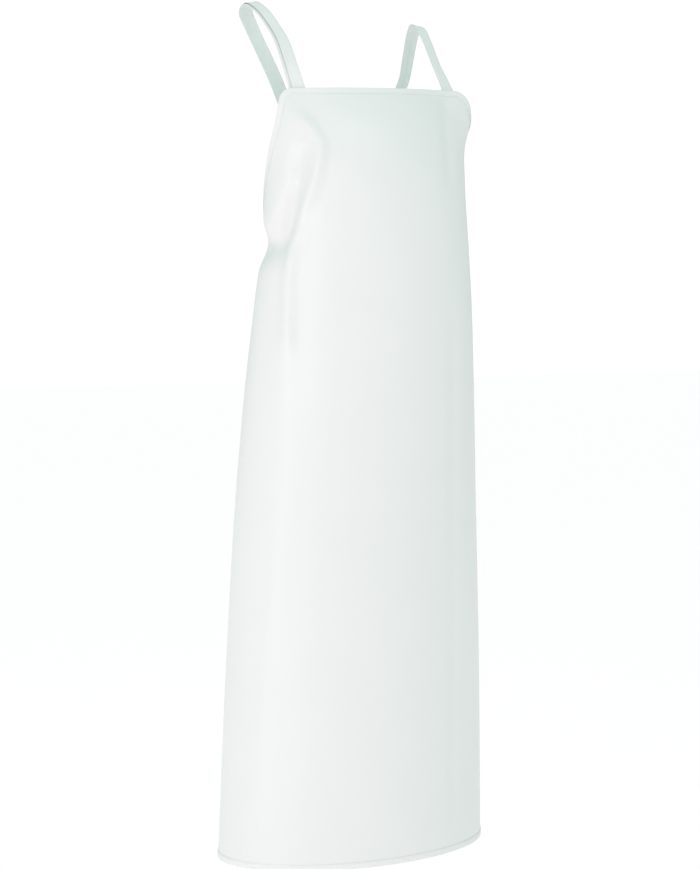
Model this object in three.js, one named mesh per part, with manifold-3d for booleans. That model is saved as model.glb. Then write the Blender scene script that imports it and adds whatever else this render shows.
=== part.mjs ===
// Butcher apron of white coated fabric: a bib and skirt cut as one panel, bound edges, two shoulder straps
// that cross behind the wearer, and a press stud at each waist corner.
// Millimetres, +Z up, the wearer faces -Y, the wearer's left is +X.
// The origin is midway between the two places where the straps lie on the shoulders.
import * as THREE from "three";
import Module from "manifold-3d";
import { mergeVertices } from "three/addons/utils/BufferGeometryUtils.js";

const wasm = await Module();
wasm.setup();

// ---- driving dimensions ----
const APRON_LENGTH = 1200;
const APRON_HALF_WIDTH = 400;
const BIB_HALF_WIDTH = 165;
const BIB_CORNER_RADIUS = 16;
const WAIST_DROP = 285;
const FABRIC = 1.0;
const BINDING_WIDTH = 9;
const BINDING_THICKNESS = 0.6;
const GAP = 0.35;
const STRAP_WIDTH = 25;
const STRAP_THICKNESS = 2.0;
const STRAP_SEWN_LENGTH = 38;
const STRAP_BASE = 141;
const STRAP_SET_IN = 4.0;
const BIB_TOP_Z = -126;
const HANG_RATIO = 0.985;
const BIB_TILT = 0.03;
const TILT_FADE = 300;
const CORNER_EASE = 0.9;

// distance down from the bib's top edge, then the half width of the cut there
const CUT = [
  [0, BIB_HALF_WIDTH],
  [60, 197],
  [120, 238],
  [180, 286],
  [240, 344],
  [WAIST_DROP, APRON_HALF_WIDTH],
  [APRON_LENGTH, APRON_HALF_WIDTH],
];

// how the panel wraps the wearer: distance down, half breadth, half depth, and where its front is
const WRAP = [
  { down: 0, breadth: 190, depth: 101, front: -140 },
  { down: 60, breadth: 178, depth: 108, front: -177 },
  { down: 120, breadth: 171, depth: 113, front: -199 },
  { down: 180, breadth: 171, depth: 117, front: -206 },
  { down: 250, breadth: 176, depth: 120, front: -209 },
  { down: 330, breadth: 184, depth: 123, front: -208 },
  { down: 450, breadth: 194, depth: 128, front: -204 },
  { down: 650, breadth: 206, depth: 134, front: -198 },
  { down: 900, breadth: 217, depth: 139, front: -195 },
  { down: APRON_LENGTH, breadth: 226, depth: 143, front: -190 },
];

// folds of the hanging fabric: a path of [across, down] points, a width, a height and a fade at its ends
const FOLDS = [
  { path: [[190, -60], [207, 20]], width: 50, height: 33, fade: 0 },
  { path: [[192, 30], [204, 60], [216, 90]], width: 12, height: -8, fade: 0 },
  { path: [[-172, 140], [-190, 205], [-214, 240], [-262, 246], [-300, 242], [-350, 236]],
    width: 24, height: -18, fade: 95 },
  { path: [[-168, 20], [-140, 58], [-129, 90], [-146, 150], [-169, 200], [-184, 240], [-190, 300],
    [-189, 440]], width: 10, height: 8, fade: 60 },
  { path: [[-160, 80], [-173, 150], [-193, 192], [-215, 231], [-227, 258]], width: 13, height: -7, fade: 45 },
  { path: [[136, 6], [112, 50], [98, 110], [96, 160]], width: 15, height: -3, fade: 25 },
  { path: [[-197, 300], [-193, 440], [-188, 600], [-204, 760], [-230, 1110], [-235, 1230]],
    width: 20, height: 2.5, fade: 110 },
  { path: [[98, 300], [101, 490], [104, 650], [108, 900], [112, 1230]], width: 12, height: -1.6, fade: 120 },
];

// ---- a smooth curve through hand-set values ----
function through(table, x) {
  const last = table.length - 2;
  let i = 0;
  while (i < last && x > table[i + 1][0]) {
    i += 1;
  }
  const slope = (a, b) => (table[b][1] - table[a][1]) / (table[b][0] - table[a][0]);
  const tangent = (k) => slope(Math.max(k - 1, 0), Math.min(k + 1, table.length - 1));
  const [x0, y0] = table[i];
  const [x1, y1] = table[i + 1];
  const h = x1 - x0;
  const u = THREE.MathUtils.clamp((x - x0) / h, 0, 1);
  const u2 = u * u;
  const u3 = u2 * u;
  return (2 * u3 - 3 * u2 + 1) * y0 + (u3 - 2 * u2 + u) * h * tangent(i)
    + (3 * u2 - 2 * u3) * y1 + (u3 - u2) * h * tangent(i + 1);
}

function halfWidth(down) {
  const k = THREE.MathUtils.clamp(BIB_CORNER_RADIUS - down, 0, BIB_CORNER_RADIUS);
  const rounding = BIB_CORNER_RADIUS - Math.sqrt(BIB_CORNER_RADIUS ** 2 - k ** 2);
  return through(CUT, down) - CORNER_EASE * rounding;
}

// ---- the hanging surface of the panel ----
const ARC_STEPS = 360;

function wrapAt(down, key) {
  return through(WRAP.map((w) => [w.down, w[key]]), down);
}

function angleAtArc(arc, breadth, depth) {
  let length = 0;
  let x = 0;
  let y = -depth;
  for (let k = 1; k <= ARC_STEPS; k += 1) {
    const angle = (Math.PI * k) / ARC_STEPS;
    const nx = breadth * Math.sin(angle);
    const ny = -depth * Math.cos(angle);
    const step = Math.hypot(nx - x, ny - y);
    if (length + step >= arc) {
      return (Math.PI * (k - 1 + (arc - length) / step)) / ARC_STEPS;
    }
    length += step;
    x = nx;
    y = ny;
  }
  return Math.PI;
}

function foldHeight(fold, across, down) {
  let nearest = Infinity;
  let along = 0;
  let run = 0;
  for (let k = 0; k + 1 < fold.path.length; k += 1) {
    const [ax, ay] = fold.path[k];
    const dx = fold.path[k + 1][0] - ax;
    const dy = fold.path[k + 1][1] - ay;
    const length = Math.hypot(dx, dy);
    const u = THREE.MathUtils.clamp(((across - ax) * dx + (down - ay) * dy) / length ** 2, 0, 1);
    const distance = Math.hypot(across - ax - u * dx, down - ay - u * dy);
    if (distance < nearest) {
      nearest = distance;
      along = run + u * length;
    }
    run += length;
  }
  const end = Math.min(along, run - along);
  const fade = fold.fade > 0 ? THREE.MathUtils.smoothstep(end, 0, fold.fade) : 1;
  return fold.height * fade * Math.exp(-((nearest / fold.width) ** 2));
}

function hang(across, down) {
  const breadth = wrapAt(down, "breadth");
  const depth = wrapAt(down, "depth");
  const side = Math.sign(across);
  const angle = angleAtArc(Math.abs(across), breadth, depth);
  const x = breadth * Math.sin(angle) * side;
  const y = wrapAt(down, "front") + depth - depth * Math.cos(angle);
  const normal = new THREE.Vector2((Math.sin(angle) / breadth) * side, -Math.cos(angle) / depth).normalize();
  const out = FOLDS.reduce((sum, fold) => sum + foldHeight(fold, across, down), 0);
  const z = BIB_TOP_Z - HANG_RATIO * down + BIB_TILT * x * Math.exp(-down / TILT_FADE);
  return new THREE.Vector3(x + normal.x * out, y + normal.y * out, z);
}

const NORMAL_STEP = 1.5;

function hangNormal(across, down) {
  const acrossWay = hang(across + NORMAL_STEP, down).sub(hang(across - NORMAL_STEP, down));
  const downWay = hang(across, down + NORMAL_STEP).sub(hang(across, down - NORMAL_STEP));
  return downWay.cross(acrossWay).normalize();
}

// ---- closed bodies ----
function closedBody(points, faces) {
  const geometry = new THREE.BufferGeometry();
  geometry.setAttribute("position", new THREE.Float32BufferAttribute(points.flatMap((p) => p.toArray()), 3));
  let volume = 0;
  for (const [a, b, c] of faces) {
    volume += points[a].dot(points[b].clone().cross(points[c]));
  }
  const index = faces.flatMap(([a, b, c]) => (volume > 0 ? [a, b, c] : [a, c, b]));
  geometry.setIndex(index);
  return geometry;
}

// a sheet with thickness from rows of { point, normal }, between two offsets from its middle surface
function sheetBody(rows, low, high) {
  const columns = rows[0].length;
  const layer = (offset) => rows.flat().map((p) => p.point.clone().addScaledVector(p.normal, offset));
  const points = [...layer(low), ...layer(high)];
  const under = rows.length * columns;
  const faces = [];
  const quad = (a, b, c, d) => faces.push([a, b, c], [a, c, d]);
  for (let r = 0; r + 1 < rows.length; r += 1) {
    for (let c = 0; c + 1 < columns; c += 1) {
      const a = r * columns + c;
      quad(a, a + 1, a + columns + 1, a + columns);
      quad(under + a, under + a + columns, under + a + columns + 1, under + a + 1);
    }
  }
  const rim = [];
  for (let c = 0; c < columns; c += 1) {
    rim.push(c);
  }
  for (let r = 1; r < rows.length; r += 1) {
    rim.push(r * columns + columns - 1);
  }
  for (let c = columns - 2; c >= 0; c -= 1) {
    rim.push((rows.length - 1) * columns + c);
  }
  for (let r = rows.length - 2; r > 0; r -= 1) {
    rim.push(r * columns);
  }
  rim.forEach((a, k) => {
    const b = rim[(k + 1) % rim.length];
    quad(b, a, under + a, under + b);
  });
  return closedBody(points, faces);
}

// a strip of constant section carried along frames of { origin, across, out };
// lean says which way its quads are split, so that a strip follows the sheet that it lies on
function stripBody(section, frames, lean = 1) {
  const points = frames.flatMap((f) => section.map((p) => f.origin.clone()
    .addScaledVector(f.across, p.x).addScaledVector(f.out, p.y)));
  const n = section.length;
  const faces = [];
  for (let k = 0; k + 1 < frames.length; k += 1) {
    for (let i = 0; i < n; i += 1) {
      const next = (i + 1) % n;
      const a = k * n + i;
      const b = k * n + next;
      if ((section[next].x - section[i].x) * lean >= 0) {
        faces.push([a, b, b + n], [a, b + n, a + n]);
      } else {
        faces.push([a, b, a + n], [b, b + n, a + n]);
      }
    }
  }
  const last = (frames.length - 1) * n;
  for (const [a, b, c] of THREE.ShapeUtils.triangulateShape(section, [])) {
    faces.push([a, c, b], [last + a, last + b, last + c]);
  }
  return closedBody(points, faces);
}

// ---- joining and cutting ----
const MERGE_DISTANCE = 1e-4;

function toSolid(geometry) {
  const plain = geometry.clone();
  plain.deleteAttribute("normal");
  plain.deleteAttribute("uv");
  const merged = mergeVertices(plain, MERGE_DISTANCE);
  return new wasm.Manifold(new wasm.Mesh({
    numProp: 3,
    vertProperties: new Float32Array(merged.attributes.position.array),
    triVerts: new Uint32Array(merged.index.array),
  }));
}

function fromSolid(solid) {
  const mesh = solid.getMesh();
  const geometry = new THREE.BufferGeometry();
  geometry.setAttribute("position", new THREE.BufferAttribute(mesh.vertProperties, 3));
  geometry.setIndex(new THREE.BufferAttribute(mesh.triVerts, 1));
  return geometry;
}

// ---- the panel's grid ----
const STUD_ROW_TOP = WAIST_DROP + 7;
const STUD_ROW_BOTTOM = STUD_ROW_TOP + 40;
const GRID_DOWN = [
  0, BINDING_WIDTH, BINDING_WIDTH + 1, 17, 25, 33, 42, 51, 60, 66, 72, 80,
  100, 120, 140, 160, 180, 200, 220, 240, 262, WAIST_DROP - 1, WAIST_DROP,
  STUD_ROW_TOP, STUD_ROW_BOTTOM, 400, 480, 570, 680, 800, 920, 1040,
  APRON_LENGTH - BINDING_WIDTH - 1, APRON_LENGTH - BINDING_WIDTH, APRON_LENGTH,
];
const GRID_COLUMNS = 20;
const STUD_FACET_INSET = 45;
const STUD_ROW = GRID_DOWN.indexOf(STUD_ROW_TOP);

function gridAcross(down) {
  const edge = halfWidth(down);
  const inner = edge - BINDING_WIDTH;
  const facet = edge - STUD_FACET_INSET * Math.min(1, edge / APRON_HALF_WIDTH);
  const across = [-edge, -inner];
  for (let k = 0; k <= GRID_COLUMNS; k += 1) {
    across.push(facet * ((2 * k) / GRID_COLUMNS - 1));
  }
  across.push(inner, edge);
  return across;
}

const grid = GRID_DOWN.map((down) => gridAcross(down).map((across) => ({
  point: hang(across, down),
  normal: hangNormal(across, down),
})));
const LAST_COLUMN = grid[0].length - 1;
const LAST_ROW = grid.length - 1;

// ---- bindings: a folded tape round each edge ----
const TAPE_GAP = 0.8;
const TAPE_INNER_EDGE = -BINDING_WIDTH + 0.4;
const TAPE_NEAR = FABRIC / 2 + TAPE_GAP;
const TAPE_FAR = TAPE_NEAR + BINDING_THICKNESS;
const TAPE_SECTION = [
  [GAP, TAPE_NEAR],
  [GAP, -TAPE_NEAR],
  [TAPE_INNER_EDGE, -TAPE_NEAR],
  [TAPE_INNER_EDGE, -TAPE_FAR],
  [GAP + BINDING_THICKNESS, -TAPE_FAR],
  [GAP + BINDING_THICKNESS, TAPE_FAR],
  [TAPE_INNER_EDGE, TAPE_FAR],
  [TAPE_INNER_EDGE, TAPE_NEAR],
].map(([x, y]) => new THREE.Vector2(x, y));

function tapeFrame(edge, inner) {
  return { origin: edge.point, across: edge.point.clone().sub(inner.point).normalize(), out: edge.normal };
}

function tapeDown(side, firstDown, lastDown) {
  const edge = side > 0 ? LAST_COLUMN : 0;
  const rows = grid.filter((row, r) => GRID_DOWN[r] >= firstDown && GRID_DOWN[r] <= lastDown);
  return stripBody(TAPE_SECTION, rows.map((row) => tapeFrame(row[edge], row[edge - side])), side);
}

function tapeAcross(edgeRow, innerRow) {
  const frames = grid[edgeRow].map((edge, c) => tapeFrame(edge, grid[innerRow][c]));
  return stripBody(TAPE_SECTION, frames.slice(1, -1), edgeRow - innerRow);
}

// ---- press studs ----
const STUD_RIVET_RADIUS = 1.7;
const STUD_HOLE_RADIUS = 2.1;
const STUD_SIDES = 24;
const DRILL_LENGTH = 30;
const PATCH_THICKNESS = 0.8;
const PATCH_TOP = -FABRIC / 2 - GAP;
const PATCH_BOTTOM = PATCH_TOP - PATCH_THICKNESS;
const STRAP_HEIGHT_ON_STUD = 5.9;

// turned outlines of [radius, height above the panel's middle surface]
const STUD_PROFILES = {
  post: [[0, PATCH_BOTTOM - 1.5], [3.6, PATCH_BOTTOM - 1.5], [5, PATCH_BOTTOM - 1], [5, PATCH_BOTTOM - GAP],
    [STUD_RIVET_RADIUS, PATCH_BOTTOM - GAP], [STUD_RIVET_RADIUS, 2.4], [0, 2.4]],
  stud: [[STUD_HOLE_RADIUS, 0.85], [5.2, 0.85], [5.2, 1.4], [3, 1.6], [2.8, 2.4], [3.2, 3.2], [2.9, 3.8],
    [STUD_HOLE_RADIUS, 3.8]],
  socket: [[3.5, 2], [5.6, 2], [5.8, 2.4], [5.4, 4.5], [STUD_HOLE_RADIUS, 4.5], [STUD_HOLE_RADIUS, 4.1],
    [3.5, 4.1]],
  cap: [[0, 4.3], [STUD_RIVET_RADIUS, 4.3], [STUD_RIVET_RADIUS, 7.2], [6.3, 7.2], [6.3, 7.6], [5.4, 8.3],
    [3.6, 8.7], [0, 8.8]],
};

function studFrame(side) {
  const near = side > 0 ? LAST_COLUMN - 2 : 2;
  const edge = side > 0 ? LAST_COLUMN - 1 : 1;
  const corners = [STUD_ROW, STUD_ROW + 1].flatMap((row) => [grid[row][near], grid[row][edge]]);
  const origin = new THREE.Vector3();
  corners.forEach((corner) => origin.addScaledVector(corner.point, 1 / corners.length));
  const out = corners[3].point.clone().sub(corners[0].point)
    .cross(corners[1].point.clone().sub(corners[2].point)).normalize();
  if (out.dot(corners[0].normal) < 0) {
    out.negate();
  }
  const upward = new THREE.Vector3(0, 0, 1);
  const up = upward.addScaledVector(out, -upward.dot(out)).normalize();
  return { origin, out, up };
}

function turned(name, frame) {
  const outline = STUD_PROFILES[name].map(([r, h]) => new THREE.Vector2(r, h));
  const closed = outline[0].x > 0 ? [...outline, outline[0].clone()] : outline;
  const geometry = new THREE.LatheGeometry(closed, STUD_SIDES);
  const turn = new THREE.Matrix4().makeBasis(frame.up.clone().cross(frame.out).negate(), frame.out,
    frame.up).setPosition(frame.origin);
  return geometry.applyMatrix4(turn);
}

function drill(geometry, frame) {
  const hole = new THREE.CylinderGeometry(STUD_HOLE_RADIUS, STUD_HOLE_RADIUS, DRILL_LENGTH, STUD_SIDES);
  const turn = new THREE.Quaternion().setFromUnitVectors(new THREE.Vector3(0, 1, 0), frame.out);
  hole.applyQuaternion(turn).translate(...frame.origin.toArray());
  return fromSolid(toSolid(geometry).subtract(toSolid(hole)));
}

// ---- shoulder straps ----
// centre line from the bib's edge over the shoulder to the back, then the way that the strap's width points
const STRAP_ROUTES = {
  right: [
    [[-137, -87, -91], [-1, 0.3, 0]],
    [[-136, -60, -52], [-1, 0.15, -0.05]],
    [[-139, -42, -30], [-1, 0, -0.12]],
    [[-149, -18, -1], [-1, -0.05, -0.2]],
    [[-156, 5, 11], [-1, 0, -0.2]],
    [[-152, 24, 0], [-1, 0, -0.15]],
    [[-139, 29, -23], [-1, -0.05, -0.2]],
    [[-95, 25, -109], [-0.95, -0.02, -0.4]],
    [[-45, 38, -205], [-0.88, 0.03, -0.46]],
    [[8, 46, -292], [-0.84, 0.05, -0.52]],
    [[52, 42, -365], [-0.75, 0.25, -0.6]],
  ],
  left: [
    [[138, -80, -75], [1, 0.4, -0.05]],
    [[144, -44, -33], [1, 0.32, -0.1]],
    [[149, -19, -12], [1, 0.2, -0.12]],
    [[153, 0, -8], [1, 0.1, -0.12]],
    [[155, 15, -24], [1, 0.12, -0.1]],
    [[150, 20, -62], [1, 0.2, 0]],
    [[141, 21, -100], [0.95, 0.3, -0.2]],
    [[102, 43, -186], [0.9, 0.25, -0.38]],
    [[40, 56, -268], [0.8, 0.05, -0.58]],
    [[-20, 53, -340], [0.7, 0.12, -0.7]],
    [[-56, 44, -384], [0.63, 0.25, -0.73]],
  ],
};
const STRAP_STEPS = 48;
const STRAP_END_ON_STUD = [-24, -8, 8, 14];
const STRAP_SECTION = [[-1, -1], [1, -1], [1, 1], [-1, 1]]
  .map(([x, y]) => new THREE.Vector2((x * STRAP_WIDTH) / 2, (y * STRAP_THICKNESS) / 2));

function strapPath(name) {
  const side = name === "right" ? -1 : 1;
  const base = side * STRAP_BASE;
  const points = [];
  const widths = [];
  for (const down of [STRAP_SEWN_LENGTH, STRAP_SEWN_LENGTH / 2, 0]) {
    points.push(hang(base, down).addScaledVector(hangNormal(base, down), -STRAP_SET_IN));
    widths.push(hang(base + side, down).sub(hang(base, down)));
  }
  for (const [point, width] of STRAP_ROUTES[name]) {
    points.push(new THREE.Vector3(...point));
    widths.push(new THREE.Vector3(...width));
  }
  const stud = studFrame(-side);
  const top = stud.origin.clone().addScaledVector(stud.out, STRAP_HEIGHT_ON_STUD);
  const last = points[points.length - 1];
  const way = top.clone().sub(last);
  way.addScaledVector(stud.out, -way.dot(stud.out)).normalize();
  const width = stud.out.clone().cross(way).normalize();
  if (width.dot(widths[widths.length - 1]) < 0) {
    width.negate();
  }
  for (const along of STRAP_END_ON_STUD) {
    points.push(top.clone().addScaledVector(way, along));
    widths.push(width.clone());
  }
  return { centre: new THREE.CatmullRomCurve3(points, false, "centripetal"), widths };
}

function widthAt(widths, u) {
  const place = u * (widths.length - 1);
  const k = Math.min(Math.floor(place), widths.length - 2);
  const from = widths[k].clone().normalize();
  return from.lerp(widths[k + 1].clone().normalize(), place - k);
}

function strapFrames(name) {
  const { centre, widths } = strapPath(name);
  const frames = [];
  for (let k = 0; k <= STRAP_STEPS; k += 1) {
    const u = k / STRAP_STEPS;
    const origin = centre.getPoint(u);
    const tangent = centre.getTangent(u);
    const across = widthAt(widths, u);
    across.addScaledVector(tangent, -across.dot(tangent)).normalize();
    frames.push({ origin, across, out: tangent.clone().cross(across).normalize() });
  }
  return frames;
}

// the stretch that lies on the shoulder is pressed flat between two frames
function restFlat(frames) {
  let top = 0;
  frames.forEach((frame, k) => {
    if (frame.origin.z > frames[top].origin.z) {
      top = k;
    }
  });
  const [first, second] = [frames[top - 1], frames[top]];
  const way = second.origin.clone().sub(first.origin).normalize();
  const across = first.across.clone().add(second.across);
  across.addScaledVector(way, -across.dot(way)).normalize();
  const out = way.clone().cross(across).normalize();
  first.across = across.clone();
  second.across = across.clone();
  first.out = out.clone();
  second.out = out.clone();
  return frames;
}

// ---- reinforcing patches behind the strap ends ----
function patchBody(across, down, low, high, steps) {
  const rows = [];
  for (let r = 0; r <= steps; r += 1) {
    const d = THREE.MathUtils.lerp(down[0], down[1], r / steps);
    const row = [];
    for (let c = 0; c <= steps; c += 1) {
      const a = THREE.MathUtils.lerp(across[0], across[1], c / steps);
      row.push({ point: hang(a, d), normal: hangNormal(a, d) });
    }
    rows.push(row);
  }
  return sheetBody(rows, low, high);
}

const BIB_PATCH_HALF = 21;
const BIB_PATCH_DOWN = [12, 52];
const BIB_PATCH_OFFSET = -7.2;
const PATCH_STEPS = 3;
const CORNER_PATCH_MARGIN = 3;

function bibPatch(side) {
  const centre = side * STRAP_BASE;
  return patchBody([centre - BIB_PATCH_HALF, centre + BIB_PATCH_HALF], BIB_PATCH_DOWN, BIB_PATCH_OFFSET,
    BIB_PATCH_OFFSET + PATCH_THICKNESS, PATCH_STEPS);
}

function cornerPatch(side) {
  const near = side > 0 ? LAST_COLUMN - 2 : 2;
  const edge = side > 0 ? LAST_COLUMN - 1 : 1;
  const corner = (row, a, b) => {
    const from = grid[row][a].point;
    const to = grid[row][b].point;
    return from.clone().addScaledVector(to.clone().sub(from).normalize(), CORNER_PATCH_MARGIN);
  };
  const { out } = studFrame(side);
  const rows = [STUD_ROW, STUD_ROW + 1].map((row) => [[near, edge], [edge, near]]
    .map(([a, b]) => ({ point: corner(row, a, b), normal: out })));
  return sheetBody(rows, PATCH_BOTTOM, PATCH_TOP);
}

// ---- materials ----
function finish(colour, roughness, metalness) {
  return () => new THREE.MeshStandardMaterial({ color: colour, roughness, metalness });
}
const coatedFabric = finish(0xf0f5f3, 0.42, 0);
const bindingTape = finish(0xeef3f1, 0.5, 0);
const strapFabric = finish(0xf2f6f4, 0.45, 0);
const nickel = finish(0xc9ccce, 0.3, 1);

// ---- assembly ----
const apron = new THREE.Group();

function add(name, geometry, material) {
  const mesh = new THREE.Mesh(geometry, material());
  mesh.name = name;
  apron.add(mesh);
}

const SIDES = { right: -1, left: 1 };
let panel = sheetBody(grid, -FABRIC / 2, FABRIC / 2);
for (const side of Object.values(SIDES)) {
  panel = drill(panel, studFrame(side));
}
add("apron_panel", panel, coatedFabric);
add("bib_top_binding", tapeAcross(0, 1), bindingTape);
add("hem_binding", tapeAcross(LAST_ROW, LAST_ROW - 1), bindingTape);

for (const [name, side] of Object.entries(SIDES)) {
  const frame = studFrame(side);
  add(`armhole_binding_${name}`, tapeDown(side, BINDING_WIDTH + 1, WAIST_DROP - 1), bindingTape);
  add(`side_binding_${name}`, tapeDown(side, WAIST_DROP, APRON_LENGTH - BINDING_WIDTH - 1), bindingTape);
  const strap = stripBody(STRAP_SECTION, restFlat(strapFrames(name)));
  add(`shoulder_strap_${name}`, drill(strap, studFrame(-side)), strapFabric);
  add(`bib_patch_${name}`, bibPatch(side), coatedFabric);
  add(`waist_patch_${name}`, drill(cornerPatch(side), frame), coatedFabric);
  add(`stud_post_${name}`, turned("post", frame), nickel);
  add(`stud_base_${name}`, turned("stud", frame), nickel);
  add(`stud_socket_${name}`, turned("socket", frame), nickel);
  add(`stud_cap_${name}`, turned("cap", frame), nickel);
}

export default apron;
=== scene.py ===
# Butcher apron in white coated fabric, hanging as worn: panel, edge tape, crossed straps, press studs.
import math

import bpy
import numpy as np
from mathutils import Matrix, Vector


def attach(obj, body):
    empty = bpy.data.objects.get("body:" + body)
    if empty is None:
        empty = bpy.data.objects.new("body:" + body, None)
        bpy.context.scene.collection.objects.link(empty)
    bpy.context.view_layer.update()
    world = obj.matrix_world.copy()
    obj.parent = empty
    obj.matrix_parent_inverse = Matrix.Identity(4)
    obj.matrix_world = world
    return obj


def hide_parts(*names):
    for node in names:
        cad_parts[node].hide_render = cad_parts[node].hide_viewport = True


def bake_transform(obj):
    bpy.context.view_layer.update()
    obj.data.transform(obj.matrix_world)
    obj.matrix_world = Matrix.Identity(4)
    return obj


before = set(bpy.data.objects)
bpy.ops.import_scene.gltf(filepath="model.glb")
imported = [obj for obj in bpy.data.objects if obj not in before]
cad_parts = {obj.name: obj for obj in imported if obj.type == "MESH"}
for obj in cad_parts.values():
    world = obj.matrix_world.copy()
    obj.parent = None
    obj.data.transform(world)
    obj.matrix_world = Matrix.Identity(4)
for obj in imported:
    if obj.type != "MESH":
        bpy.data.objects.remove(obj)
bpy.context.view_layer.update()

MM = 0.001
ROOT = "apron"
SIDES = {"right": -1, "left": 1}

# ---- the cut and the hang of the apron, in millimetres ----
APRON_LENGTH = 1200.0
APRON_HALF_WIDTH = 400.0
BIB_HALF_WIDTH = 165.0
BIB_CORNER_RADIUS = 16.0
WAIST_DROP = 285.0
FABRIC = 0.9
TAPE_WIDTH = 9.0
STRAP_WIDTH = 25.0
STRAP_SEWN_LENGTH = 38.0
STRAP_BASE = 141.0
STRAP_SET_IN = 3.6
BIB_TOP_Z = -126.0
HANG_RATIO = 0.985
BIB_TILT = 0.03
TILT_FADE = 300.0
CORNER_EASE = 0.9

CUT = [(0, BIB_HALF_WIDTH), (60, 197), (120, 238), (180, 286), (240, 344), (WAIST_DROP, APRON_HALF_WIDTH),
       (APRON_LENGTH, APRON_HALF_WIDTH)]
# distance down, half breadth, half depth, front
WRAP = [(0, 190, 101, -140), (60, 178, 108, -177), (120, 171, 113, -199), (180, 171, 117, -206),
        (250, 176, 120, -209), (330, 184, 123, -208), (450, 194, 128, -204), (650, 206, 134, -198),
        (900, 217, 139, -195), (APRON_LENGTH, 226, 143, -190)]
# path of (across, down) points, width, height, fade at the ends
FOLDS = [
    ([(190, -60), (207, 20)], 50, 33, 0),
    ([(192, 30), (204, 60), (216, 90)], 12, -8, 0),
    ([(-172, 140), (-190, 205), (-214, 240), (-262, 246), (-300, 242), (-350, 236)], 24, -18, 95),
    ([(-168, 20), (-140, 58), (-129, 90), (-146, 150), (-169, 200), (-184, 240), (-190, 300), (-189, 440)],
     10, 8, 60),
    ([(-160, 80), (-173, 150), (-193, 192), (-215, 231), (-227, 258)], 13, -7, 45),
    ([(136, 6), (112, 50), (98, 110), (96, 160)], 15, -3, 25),
    ([(-197, 300), (-193, 440), (-188, 600), (-204, 760), (-230, 1110), (-235, 1230)], 20, 2.5, 110),
    ([(98, 300), (101, 490), (104, 650), (108, 900), (112, 1230)], 12, -1.6, 120),
]


def through(xs, ys, x):
    """A smooth curve through given values."""
    xs = np.asarray(xs, float)
    ys = np.asarray(ys, float)
    tangent = np.gradient(ys)
    tangent[1:-1] = (ys[2:] - ys[:-2]) / (xs[2:] - xs[:-2])
    tangent[0] = (ys[1] - ys[0]) / (xs[1] - xs[0])
    tangent[-1] = (ys[-1] - ys[-2]) / (xs[-1] - xs[-2])
    i = np.clip(np.searchsorted(xs, x) - 1, 0, len(xs) - 2)
    h = xs[i + 1] - xs[i]
    u = np.clip((x - xs[i]) / h, 0, 1)
    return ((2 * u**3 - 3 * u**2 + 1) * ys[i] + (u**3 - 2 * u**2 + u) * h * tangent[i]
            + (3 * u**2 - 2 * u**3) * ys[i + 1] + (u**3 - u**2) * h * tangent[i + 1])


def half_width(down):
    """Half the panel's flat width at a distance down it, with the bib's corner rounded."""
    down = np.asarray(down, float)
    k = np.clip(BIB_CORNER_RADIUS - down, 0, BIB_CORNER_RADIUS)
    rounding = BIB_CORNER_RADIUS - np.sqrt(BIB_CORNER_RADIUS**2 - k**2)
    return through(*zip(*CUT), down) - CORNER_EASE * rounding


def fold_height(fold, across, down):
    """How far one fold stands off the plain wrapped surface: a soft ridge along its path."""
    path, width, height, fade = fold
    nearest = np.full(across.shape, np.inf)
    along = np.zeros(across.shape)
    run = 0.0
    for (ax, ay), (bx, by) in zip(path, path[1:]):
        dx, dy = bx - ax, by - ay
        length = math.hypot(dx, dy)
        u = np.clip(((across - ax) * dx + (down - ay) * dy) / length**2, 0, 1)
        distance = np.hypot(across - ax - u * dx, down - ay - u * dy)
        closer = distance < nearest
        nearest = np.where(closer, distance, nearest)
        along = np.where(closer, run + u * length, along)
        run += length
    ease = 1.0
    if fade:
        ease = np.clip(np.minimum(along, run - along) / fade, 0, 1)
        ease = ease * ease * (3 - 2 * ease)
    return height * ease * np.exp(-((nearest / width) ** 2))


ARC_STEPS = 180


def angle_at_arc(arc, breadth, depth):
    """The angle round each ellipse at which its arc from the front has the given length."""
    theta = np.linspace(0, np.pi, ARC_STEPS + 1)
    x = breadth[:, None] * np.sin(theta)
    y = -depth[:, None] * np.cos(theta)
    run = np.zeros(x.shape)
    run[:, 1:] = np.cumsum(np.hypot(np.diff(x), np.diff(y)), axis=1)
    k = np.clip((run <= arc[:, None]).sum(axis=1) - 1, 0, ARC_STEPS - 1)
    row = np.arange(len(arc))
    u = (arc - run[row, k]) / (run[row, k + 1] - run[row, k])
    return (k + np.clip(u, 0, 1)) * np.pi / ARC_STEPS


def wrapped(across, down):
    """Places on the panel as it wraps the wearer, before the studs press it flat, in millimetres."""
    across, down = np.broadcast_arrays(np.asarray(across, float), np.asarray(down, float))
    shape = across.shape
    s, t = across.ravel(), down.ravel()
    breadth, depth, front = (through([w[0] for w in WRAP], [w[k] for w in WRAP], t) for k in (1, 2, 3))
    angle = angle_at_arc(np.abs(s), breadth, depth)
    side = np.sign(s)
    x = breadth * np.sin(angle) * side
    y = front + depth - depth * np.cos(angle)
    nx = np.sin(angle) / breadth * side
    ny = -np.cos(angle) / depth
    size = np.hypot(nx, ny)
    out = sum(fold_height(fold, s, t) for fold in FOLDS)
    z = BIB_TOP_Z - HANG_RATIO * t + BIB_TILT * x * np.exp(-t / TILT_FADE)
    return np.stack([x + nx / size * out, y + ny / size * out, z], -1).reshape(shape + (3,))


def unit(v):
    return v / np.maximum(np.linalg.norm(v, axis=-1, keepdims=True), 1e-12)


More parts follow.
